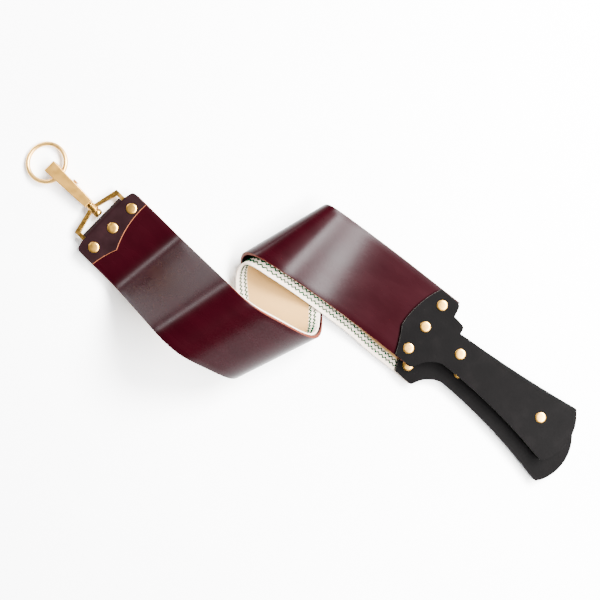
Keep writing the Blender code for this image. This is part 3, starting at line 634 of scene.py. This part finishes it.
def stitch_thread(colour):
    """Twisted green thread, uneven in shade."""
    n = Nodes("stitch_thread")
    place = n.mapping((1, 1, 1))
    twist = n.noise(place, 900, 3)
    patch = n.noise(place, 45, 3)
    tint = n.ramp(n.maths("ADD", n.maths("MULTIPLY", twist, 0.5), n.maths("MULTIPLY", patch, 0.5)),
                  ((0.36, scaled(colour, 0.45)), (0.5, colour), (0.64, scaled(colour, 1.7))))
    return n.finish(Base_Color=tint, Roughness=0.85, Normal=n.bump(twist, 0.5, 0.1 * MM),
                    Specular_IOR_Level=0.03)


def brass(name, colour, brush=None, roughness=(0.22, 0.34)):
    """Lacquered brass. brush stretches its fine scratches, one number for each axis."""
    n = Nodes(name)
    place = n.mapping((1, 1, 1))
    scratches = n.noise(n.mapping(brush or (300, 300, 300)), 2.0, 5, 0.65)
    cloud = n.noise(place, 140, 4)
    tint = n.ramp(cloud, ((0.3, scaled(colour, 0.92)), (0.55, colour), (0.8, scaled(colour, 1.05))))
    rough = n.maths("ADD", n.spread(cloud, *roughness), n.spread(scratches, -0.05, 0.07))
    normal = n.bump(scratches, 0.06 if brush else 0.03, 0.03 * MM)
    return n.finish(Base_Color=tint, Metallic=1.0, Roughness=rough, Normal=normal, Coat_Weight=0.2,
                    Coat_Roughness=0.15)


def table_top():
    """Pale, matt table."""
    n = Nodes("pale_table")
    cloud = n.noise(n.mapping((1, 1, 1)), 6, 3)
    tint = n.ramp(cloud, ((0.3, (0.93, 0.93, 0.935)), (0.7, (0.96, 0.96, 0.96))))
    return n.finish(Base_Color=tint, Roughness=0.9, Specular_IOR_Level=0.1, Emission_Color=(1, 1, 1, 1),
                    Emission_Strength=0.35)


# ======================================================================================================
# node groups
# ======================================================================================================
def socket(group, name, kind, default=None, out=False):
    """Add a socket to a node group."""
    made = group.interface.new_socket(name, in_out="OUTPUT" if out else "INPUT", socket_type=kind)
    if default is not None:
        made.default_value = default
    return made


def thread_tree(material):
    """Gives every edge line a round thread: a tube of that radius, realised, in its material."""
    group = bpy.data.node_groups.new("thread_along_lines", "GeometryNodeTree")
    socket(group, "Geometry", "NodeSocketGeometry")
    socket(group, "Radius", "NodeSocketFloat", 0.3 * MM)
    socket(group, "Sides", "NodeSocketInt", 5)
    socket(group, "Geometry", "NodeSocketGeometry", out=True)
    start, end = group.nodes.new("NodeGroupInput"), group.nodes.new("NodeGroupOutput")
    curve = group.nodes.new("GeometryNodeMeshToCurve")
    ring = group.nodes.new("GeometryNodeCurvePrimitiveCircle")
    tube, real = group.nodes.new("GeometryNodeCurveToMesh"), group.nodes.new("GeometryNodeRealizeInstances")
    paint = group.nodes.new("GeometryNodeSetMaterial")
    tube.inputs["Fill Caps"].default_value = True
    paint.inputs["Material"].default_value = material
    for source, target in ((start.outputs["Geometry"], curve.inputs["Mesh"]),
                           (start.outputs["Radius"], ring.inputs["Radius"]),
                           (start.outputs["Sides"], ring.inputs["Resolution"]),
                           (curve.outputs["Curve"], tube.inputs["Curve"]),
                           (ring.outputs["Curve"], tube.inputs["Profile Curve"]),
                           (tube.outputs["Mesh"], real.inputs["Geometry"]),
                           (real.outputs["Geometry"], paint.inputs["Geometry"]),
                           (paint.outputs["Geometry"], end.inputs["Geometry"])):
        group.links.new(source, target)
    return group


def rivet_tree(material):
    """Stands one rivet on each point, each turned by its own angle, realised, in its material."""
    group = bpy.data.node_groups.new("rivets_on_points", "GeometryNodeTree")
    socket(group, "Geometry", "NodeSocketGeometry")
    socket(group, "Rivet", "NodeSocketObject")
    socket(group, "Turn", "NodeSocketFloat", 0.7)
    socket(group, "Seed", "NodeSocketInt", 3)
    socket(group, "Geometry", "NodeSocketGeometry", out=True)
    start, end = group.nodes.new("NodeGroupInput"), group.nodes.new("NodeGroupOutput")
    info, put = group.nodes.new("GeometryNodeObjectInfo"), group.nodes.new("GeometryNodeInstanceOnPoints")
    any_turn = group.nodes.new("FunctionNodeRandomValue")
    angle = group.nodes.new("ShaderNodeCombineXYZ")
    real, paint = group.nodes.new("GeometryNodeRealizeInstances"), group.nodes.new("GeometryNodeSetMaterial")
    paint.inputs["Material"].default_value = material
    for source, target in ((start.outputs["Geometry"], put.inputs["Points"]),
                           (start.outputs["Rivet"], info.inputs["Object"]),
                           (info.outputs["Geometry"], put.inputs["Instance"]),
                           (start.outputs["Turn"], any_turn.inputs[3]),
                           (start.outputs["Seed"], any_turn.inputs["Seed"]),
                           (any_turn.outputs[1], angle.inputs["Z"]),
                           (angle.outputs["Vector"], put.inputs["Rotation"]),
                           (put.outputs["Instances"], real.inputs["Geometry"]),
                           (real.outputs["Geometry"], paint.inputs["Geometry"]),
                           (paint.outputs["Geometry"], end.inputs["Geometry"])):
        group.links.new(source, target)
    return group


def grow(obj, group, **values):
    """Run a node group on an object, with its inputs set by identifier, and keep the plain result."""
    modifier = obj.modifiers.new(group.name, "NODES")
    modifier.node_group = group
    names = {item.name: item.identifier for item in group.interface.items_tree if item.in_out == "INPUT"}
    for key, value in values.items():
        modifier[names[key.replace("_", " ")]] = value
    return plain_mesh(obj)


# ======================================================================================================
# straps
# ======================================================================================================
def hinge_span(joint):
    """Start and end points of a span about a handle's hinge."""
    spot = Vector(JOINTS[joint]["pos_m"])
    axis = Vector(JOINTS[joint]["axis"])
    heading = Vector((-axis.y, axis.x, 0))
    if heading.x < 0:
        heading.negate()
    return spot - heading * BEND_AHEAD, spot + heading * BEND_BEHIND


class STROP_OT_leather_strap(bpy.types.Operator):
    """Build the leather strap with its rounded, bare cut edges"""
    bl_idname = "strop.leather_strap"
    bl_label = "Leather strap"

    def execute(self, context):
        look = context.scene.strop_leather
        frames = run_on(LEATHER_PATH, STRAP_TAIL, TAB_BEHIND)
        strap = strap_solid("strap_leather", frames, STRAP_COLUMNS, LEATHER, look.edge_round,
                            [burgundy_leather(look.burgundy), cut_leather("strap_cut_edge", look.cut_edge)])
        hinge_span("front_handle_lift")
        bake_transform(strap)
        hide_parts("leather_strop", "front_strap_tab")
        return {"FINISHED"}


def zigzag_lines(frames, rows, look, lift):
    """Polylines of zigzag stitches at the given distances across, a little proud of one face."""
    mesh = bpy.data.meshes.new("zigzag")
    shape = bmesh.new()
    start, end = frames[0][0], frames[-1][0]
    count = int((end - start) / look.zigzag_pitch * 2)
    spans = list(zip(frames, frames[1:]))
    for across in rows:
        last = None
        for i in range(count + 1):
            place = start + i * look.zigzag_pitch / 2
            if place > end:
                break
            lower, upper = next((pair for pair in spans if pair[1][0] >= place), spans[-1])
            t = (place - lower[0]) / (upper[0] - lower[0])
            side = across + (0.5 if i % 2 else -0.5) * look.zigzag_width
            point = point_on(lower, side / (STRAP_WIDTH / 2), lift).lerp(
                point_on(upper, side / (STRAP_WIDTH / 2), lift), t)
            spot = shape.verts.new(point)
            if last is not None:
                shape.edges.new((last, spot))
            last = spot
    shape.to_mesh(mesh)
    shape.free()
    return mesh


class STROP_OT_webbing(bpy.types.Operator):
    """Build the woven strap and its double rows of zigzag stitches"""
    bl_idname = "strop.webbing"
    bl_label = "Webbing and stitches"

    def execute(self, context):
        look = context.scene.strop_webbing
        frames = run_on(WEB_PATH, STRAP_TAIL, TAB_BEHIND)
        cloth = woven_cloth(look.cloth)
        strap = strap_solid("strap_webbing", frames, STRAP_COLUMNS, WEBBING, SELVEDGE_ROUNDING,
                            [cloth, cloth])
        edge = STRAP_WIDTH / 2 - look.edge_to_rows
        half_gap = look.row_gap / 2
        rows = [sign * (edge + offset) for sign in (-1, 1) for offset in (-half_gap, half_gap)]
        thread = stitch_thread(look.thread)
        tree = thread_tree(thread)
        seams = []
        for name, lift in (("stitches_face", WEBBING / 2), ("stitches_back", -WEBBING / 2)):
            seam = new_object(name, zigzag_lines(frames, rows, look, lift), [thread])
            grow(seam, tree, Radius=look.thread_radius, Sides=6)
            seam.data.shade_smooth()
            seams.append(seam)
        span = hinge_span("rear_handle_drop")
        for obj in (strap, *seams):
            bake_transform(obj)
        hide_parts("webbing_strop", "rear_strap_tab")
        return {"FINISHED"}


# ======================================================================================================
# chape and handles
# ======================================================================================================
def paint_rims(obj, rim_index, test):
    """Give an object's faces that aren't level another material where the test holds."""
    for polygon in obj.data.polygons:
        if abs(polygon.normal.z) < LEVEL and test(polygon.normal, polygon.center):
            polygon.material_index = rim_index


class STROP_OT_chape(bpy.types.Operator):
    """Build the folded leather chape with its bare front edge"""
    bl_idname = "strop.chape"
    bl_label = "Chape"

    def execute(self, context):
        look = context.scene.strop_leather
        materials = [chape_leather(look.chape), cut_leather("chape_cut_edge", look.chape_edge)]
        chape = refined("bail_chape", "chape", materials, CHAPE_ROUNDING, 2, 50)
        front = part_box("bail_chape")[1].x - CHAPE_FRONT_DEPTH
        paint_rims(chape, 1, lambda normal, centre: normal.x > 0.15 and centre.x > front)
        return {"FINISHED"}


class STROP_OT_handles(bpy.types.Operator):
    """Build the pebbled leather plies of both handles"""
    bl_idname = "strop.handles"
    bl_label = "Handles"

    def execute(self, context):
        look = context.scene.strop_leather
        black = black_leather(look.black)
        grey_edge = cut_leather("handle_front_edge", (0.055, 0.050, 0.046), 0.55)
        side_edge = cut_leather("handle_side_edge", (0.006, 0.0052, 0.0048), 0.6)
        for handle, turn in (("front", 0), ("rear", REAR_TURN)):
            heading = math.radians(HANDLE_HEADING + turn)
            ahead = Vector((math.cos(heading), math.sin(heading), 0))
            head = node_middle(f"{handle}_rivet_head_middle_cap")
            for ply in ("bottom_leaf", "core", "top_leaf"):
                leaf = ply != "core"
                node = f"{handle}_handle_{ply}"
                obj = refined(node, node + "_skin", [black, grey_edge, side_edge],
                              LEAF_ROUNDING if leaf else CORE_ROUNDING, 3 if leaf else 1, 50)
                paint_rims(obj, 2, lambda normal, centre: abs(normal.z) < UPRIGHT)
                paint_rims(obj, 1, lambda normal, centre, h=head, a=ahead: normal.dot(a) < -0.12 and
                           (centre - h).dot(a) < -HEAD_EDGE)
        return {"FINISHED"}


# ======================================================================================================
# brass
# ======================================================================================================
def rivet_profile(look, grip):
    """A whole rivet from the top of its cap to the bottom of its post, z = 0 half-way up the stack."""
    r, d, half = look.cap_radius, look.cap_dome, grip / 2 + CAP_LIFT
    upper = [(0, d), (0.18 * r, 0.995 * d), (0.36 * r, 0.975 * d), (0.55 * r, 0.93 * d),
             (0.70 * r, 0.87 * d), (0.80 * r, 0.80 * d), (0.86 * r, 0.66 * d), (0.93 * r, 0.58 * d),
             (0.975 * r, 0.42 * d), (r, 0.22 * d), (0.995 * r, 0.05 * d), (0.96 * r, 0)]
    profile = [(radius, half + height) for radius, height in upper] + [(POST_RADIUS, half)]
    return profile + [(radius, -height) for radius, height in reversed(profile)]


class STROP_OT_rivets(bpy.types.Operator):
    """Build the rivets of the chape and of both handles"""
    bl_idname = "strop.rivets"
    bl_label = "Rivets"

    def execute(self, context):
        look = context.scene.strop_brass
        metal = brass("rivet_brass", look.metal, None, (0.30, 0.40))
        tree = rivet_tree(metal)
        in_handle = ("head_far", "head_middle", "head_near", "neck", "butt")
        groups = (("chape", "straps", ("far", "middle", "near")), ("front", "front_handle", in_handle),
                  ("rear", "rear_handle", in_handle))
        for group, body, names in groups:
            mesh = bpy.data.meshes.new(f"{group}_rivets")
            shape = bmesh.new()
            covered = []
            for name in names:
                cap, post = f"{group}_rivet_{name}_cap", f"{group}_rivet_{name}_post"
                top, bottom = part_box(cap)[1].z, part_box(post)[0].z
                middle = node_middle(cap)
                shape.verts.new((middle.x, middle.y, (top + bottom) / 2))
                covered += [cap, post]
            shape.to_mesh(mesh)
            shape.free()
            grip = top - bottom - 2 * look.cap_dome - 2 * CAP_LIFT
            form = lathe_mesh("rivet_form", rivet_profile(look, grip), RIVET_SIDES)
            master = new_object(f"{group}_rivet_form", form, [metal])
            rivets = new_object(f"{group}_rivets", mesh, [metal], smooth=False)
            grow(rivets, tree, Rivet=master, Turn=FULL_TURN)
            bpy.data.objects.remove(master)
            rivets.data.shade_smooth()
            rivets.data.set_sharp_from_angle(angle=math.radians(40))
            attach(rivets, body)
            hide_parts(*covered)
        return {"FINISHED"}


class STROP_OT_bail(bpy.types.Operator):
    """Build the bail that the chape folds round"""
    bl_idname = "strop.bail"
    bl_label = "Bail"

    def execute(self, context):
        look = context.scene.strop_brass
        metal = brass("bail_brass", look.metal, (120, 60, 300))
        refined("bail", "bail_bar", [metal], BAIL_ROUNDING, 3, 35)
        return {"FINISHED"}


class STROP_OT_snap(bpy.types.Operator):
    """Build the swivel snap: body, bolt, spring and stud"""
    bl_idname = "strop.snap"
    bl_label = "Swivel snap"

    def execute(self, context):
        look = context.scene.strop_brass
        brushed = brass("snap_brass", look.metal, (60, 900, 900), (0.36, 0.44))
        turned = brass("stud_brass", scaled(look.metal, 0.9), (900, 60, 60), (0.2, 0.3))
        refined("snap_body", "snap_frame", [brushed], 0.28 * MM, 2, 35)
        refined("gate_bolt", "snap_bolt", [brushed], 0.2 * MM, 2, 45)
        self.add_stud(turned)
        self.add_spring(brass("spring_steel", (0.62, 0.60, 0.57), None, (0.25, 0.35)))
        return {"FINISHED"}

    def add_stud(self, metal):
        """The turned stud, with its grooved collar and peened head."""
        low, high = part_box("swivel_stud")
        axis_y, axis_z = (low.y + high.y) / 2, (low.z + high.z) / 2
        turn = Matrix.Translation((SHIFT.x, axis_y, axis_z)) @ Matrix.Rotation(math.pi / 2, 4, "Y")
        rows = [(radius * MM, x * MM) for radius, x in STUD_PROFILE]
        mesh = lathe_mesh("swivel_stud_turned", rows, 48, turn)
        obj = new_object("swivel_stud_turned", mesh, [metal])
        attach(obj, "snap")
        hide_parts("swivel_stud")

    def add_spring(self, metal):
        """The bolt's coil spring, round wire."""
        low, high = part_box("gate_spring")
        middle = (low + high) / 2
        shape = bmesh.new()
        last, turns, steps = None, 9, 20
        coil_radius = (high.z - low.z) / 2 - 0.27 * MM
        for i in range(turns * steps + 1):
            angle = 2 * math.pi * i / steps
            spot = shape.verts.new((low.x + 0.3 * MM + (high.x - low.x - 0.6 * MM) * i / (turns * steps),
                                    middle.y + coil_radius * math.cos(angle),
                                    middle.z + coil_radius * math.sin(angle)))
            if last is not None:
                shape.edges.new((last, spot))
            last = spot
        mesh = bpy.data.meshes.new("bolt_spring")
        shape.to_mesh(mesh)
        shape.free()
        obj = new_object("bolt_spring", mesh, [metal], smooth=False)
        grow(obj, thread_tree(metal), Radius=0.25 * MM, Sides=10)
        obj.data.shade_smooth()
        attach(obj, "snap")
        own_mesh(obj)
        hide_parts("gate_spring")


class STROP_OT_ring(bpy.types.Operator):
    """Build the round ring"""
    bl_idname = "strop.ring"
    bl_label = "Ring"

    def execute(self, context):
        look = context.scene.strop_brass
        low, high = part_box("ring")
        wire = 2.1 * MM
        radius = (high.y - low.y) / 2 - wire
        tilt = math.asin((high.z - low.z - 2 * wire) / (2 * radius))
        turn = Matrix.Translation((low + high) / 2) @ Matrix.Rotation(-tilt, 4, "Y")
        shape = bmesh.new()
        around, section = 112, 20
        rows = []
        for i in range(around):
            a = 2 * math.pi * i / around
            rows.append([shape.verts.new(turn @ Vector((
                (radius + wire * math.cos(2 * math.pi * j / section)) * math.cos(a),
                (radius + wire * math.cos(2 * math.pi * j / section)) * math.sin(a),
                wire * math.sin(2 * math.pi * j / section)))) for j in range(section)])
        for i in range(around):
            for j in range(section):
                k, m = (i + 1) % around, (j + 1) % section
                shape.faces.new((rows[i][j], rows[k][j], rows[k][m], rows[i][m]))
        bmesh.ops.recalc_face_normals(shape, faces=shape.faces)
        mesh = bpy.data.meshes.new("hanging_ring")
        shape.to_mesh(mesh)
        shape.free()
        ring = new_object("hanging_ring", mesh, [brass("ring_brass", look.ring_metal, None, (0.36, 0.46))])
        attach(ring, "ring")
        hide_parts("ring")
        return {"FINISHED"}


# ======================================================================================================
# stage
# ======================================================================================================
CAMERA_TURN = 44.4                        # degrees about Z
CAMERA_OFF = (175.9 * MM, -67.6 * MM)     # from the middle chape rivet, in the camera's own directions
CAMERA_HEIGHT = 1142.7 * MM
CAMERA_SCALE = 1.053                      # picture widths of 600 mm at table height
SENSOR = 36.0
TABLE_HALF = 6.0
TABLE_GAP = 0.05 * MM
SKY = 0.22
LIGHTS = (                                # name, place, target, width and height, power
    ("top_softbox", (0.25, 1.25, 1.45), (0, 0, 0), (1.1, 0.7), 420),
    ("handle_side_strip", (0.86, 0.36, 1.38), (-0.015, 0.054, 0.028), (0.9, 0.40), 165),
    ("clip_side_strip", (-1.60, 0.02, 0.47), (-0.065, 0, 0.08), (0.9, 0.16), 30),
)


def area_light(name, place, target, size, power):
    """A rectangular soft light aimed at a point."""
    data = bpy.data.lights.new(name, "AREA")
    data.shape = "RECTANGLE"
    data.size, data.size_y = size
    data.energy = power
    light = bpy.data.objects.new(name, data)
    bpy.context.scene.collection.objects.link(light)
    light.location = place
    light.rotation_euler = (Vector(target) - Vector(place)).to_track_quat("-Z", "Y").to_euler()


class STROP_OT_stage(bpy.types.Operator):
    """Set the table, the lights and the camera"""
    bl_idname = "strop.stage"
    bl_label = "Stage"

    def execute(self, context):
        shape = bmesh.new()
        bmesh.ops.create_grid(shape, x_segments=1, y_segments=1, size=TABLE_HALF)
        mesh = bpy.data.meshes.new("table")
        shape.to_mesh(mesh)
        shape.free()
        table = new_object("table", mesh, [table_top()], smooth=False)
        table.location.z = -TABLE_GAP
        world = bpy.data.worlds.new("studio")
        context.scene.world = world
        world.use_nodes = True
        world.node_tree.nodes["Background"].inputs["Color"].default_value = (1, 1, 1, 1)
        world.node_tree.nodes["Background"].inputs["Strength"].default_value = SKY
        for light in LIGHTS:
            area_light(*light)
        self.add_camera(context)
        return {"FINISHED"}

    def add_camera(self, context):
        """A camera straight above the table."""
        turn = math.radians(CAMERA_TURN)
        across, up = CAMERA_OFF
        data = bpy.data.cameras.new("camera")
        data.sensor_width = SENSOR
        data.lens = CAMERA_SCALE * (CAMERA_HEIGHT / MM) * SENSOR / 600
        camera = bpy.data.objects.new("camera", data)
        context.scene.collection.objects.link(camera)
        camera.location = (SHIFT.x + across * math.cos(turn) - up * math.sin(turn),
                           SHIFT.y + across * math.sin(turn) + up * math.cos(turn), CAMERA_HEIGHT)
        camera.rotation_euler = (0, 0, turn)
        context.scene.camera = camera


OPERATORS = (STROP_OT_leather_strap, STROP_OT_webbing, STROP_OT_chape, STROP_OT_handles, STROP_OT_rivets,
             STROP_OT_bail, STROP_OT_snap, STROP_OT_ring, STROP_OT_stage)


class STROP_PT_panel(bpy.types.Panel):
    """Lists the strop's settings and operators"""
    bl_idname = "STROP_PT_panel"
    bl_label = "Razor strop"
    bl_space_type = "VIEW_3D"
    bl_region_type = "UI"
    bl_category = "Strop"

    def draw(self, context):
        for name, group in SETTINGS.items():
            box = self.layout.box()
            for key in group.__annotations__:
                box.prop(getattr(context.scene, name), key)
        for operator in OPERATORS:
            self.layout.operator(operator.bl_idname)


def register():
    """Register the settings, operators and panel."""
    for name, group in SETTINGS.items():
        bpy.utils.register_class(group)
        setattr(bpy.types.Scene, name, bpy.props.PointerProperty(type=group))
    for kind in (*OPERATORS, STROP_PT_panel):
        bpy.utils.register_class(kind)


def unregister():
    """Undo register."""
    for kind in reversed((*OPERATORS, STROP_PT_panel)):
        bpy.utils.unregister_class(kind)
    for name, group in SETTINGS.items():
        delattr(bpy.types.Scene, name)
        bpy.utils.unregister_class(group)


def main():
    """Build the strop."""
    register()
    strop = bpy.ops.strop
    for build in (strop.leather_strap, strop.webbing, strop.chape, strop.handles, strop.rivets, strop.bail,
                  strop.snap, strop.ring, strop.stage):
        build()


if __name__ == "__main__":
    main()
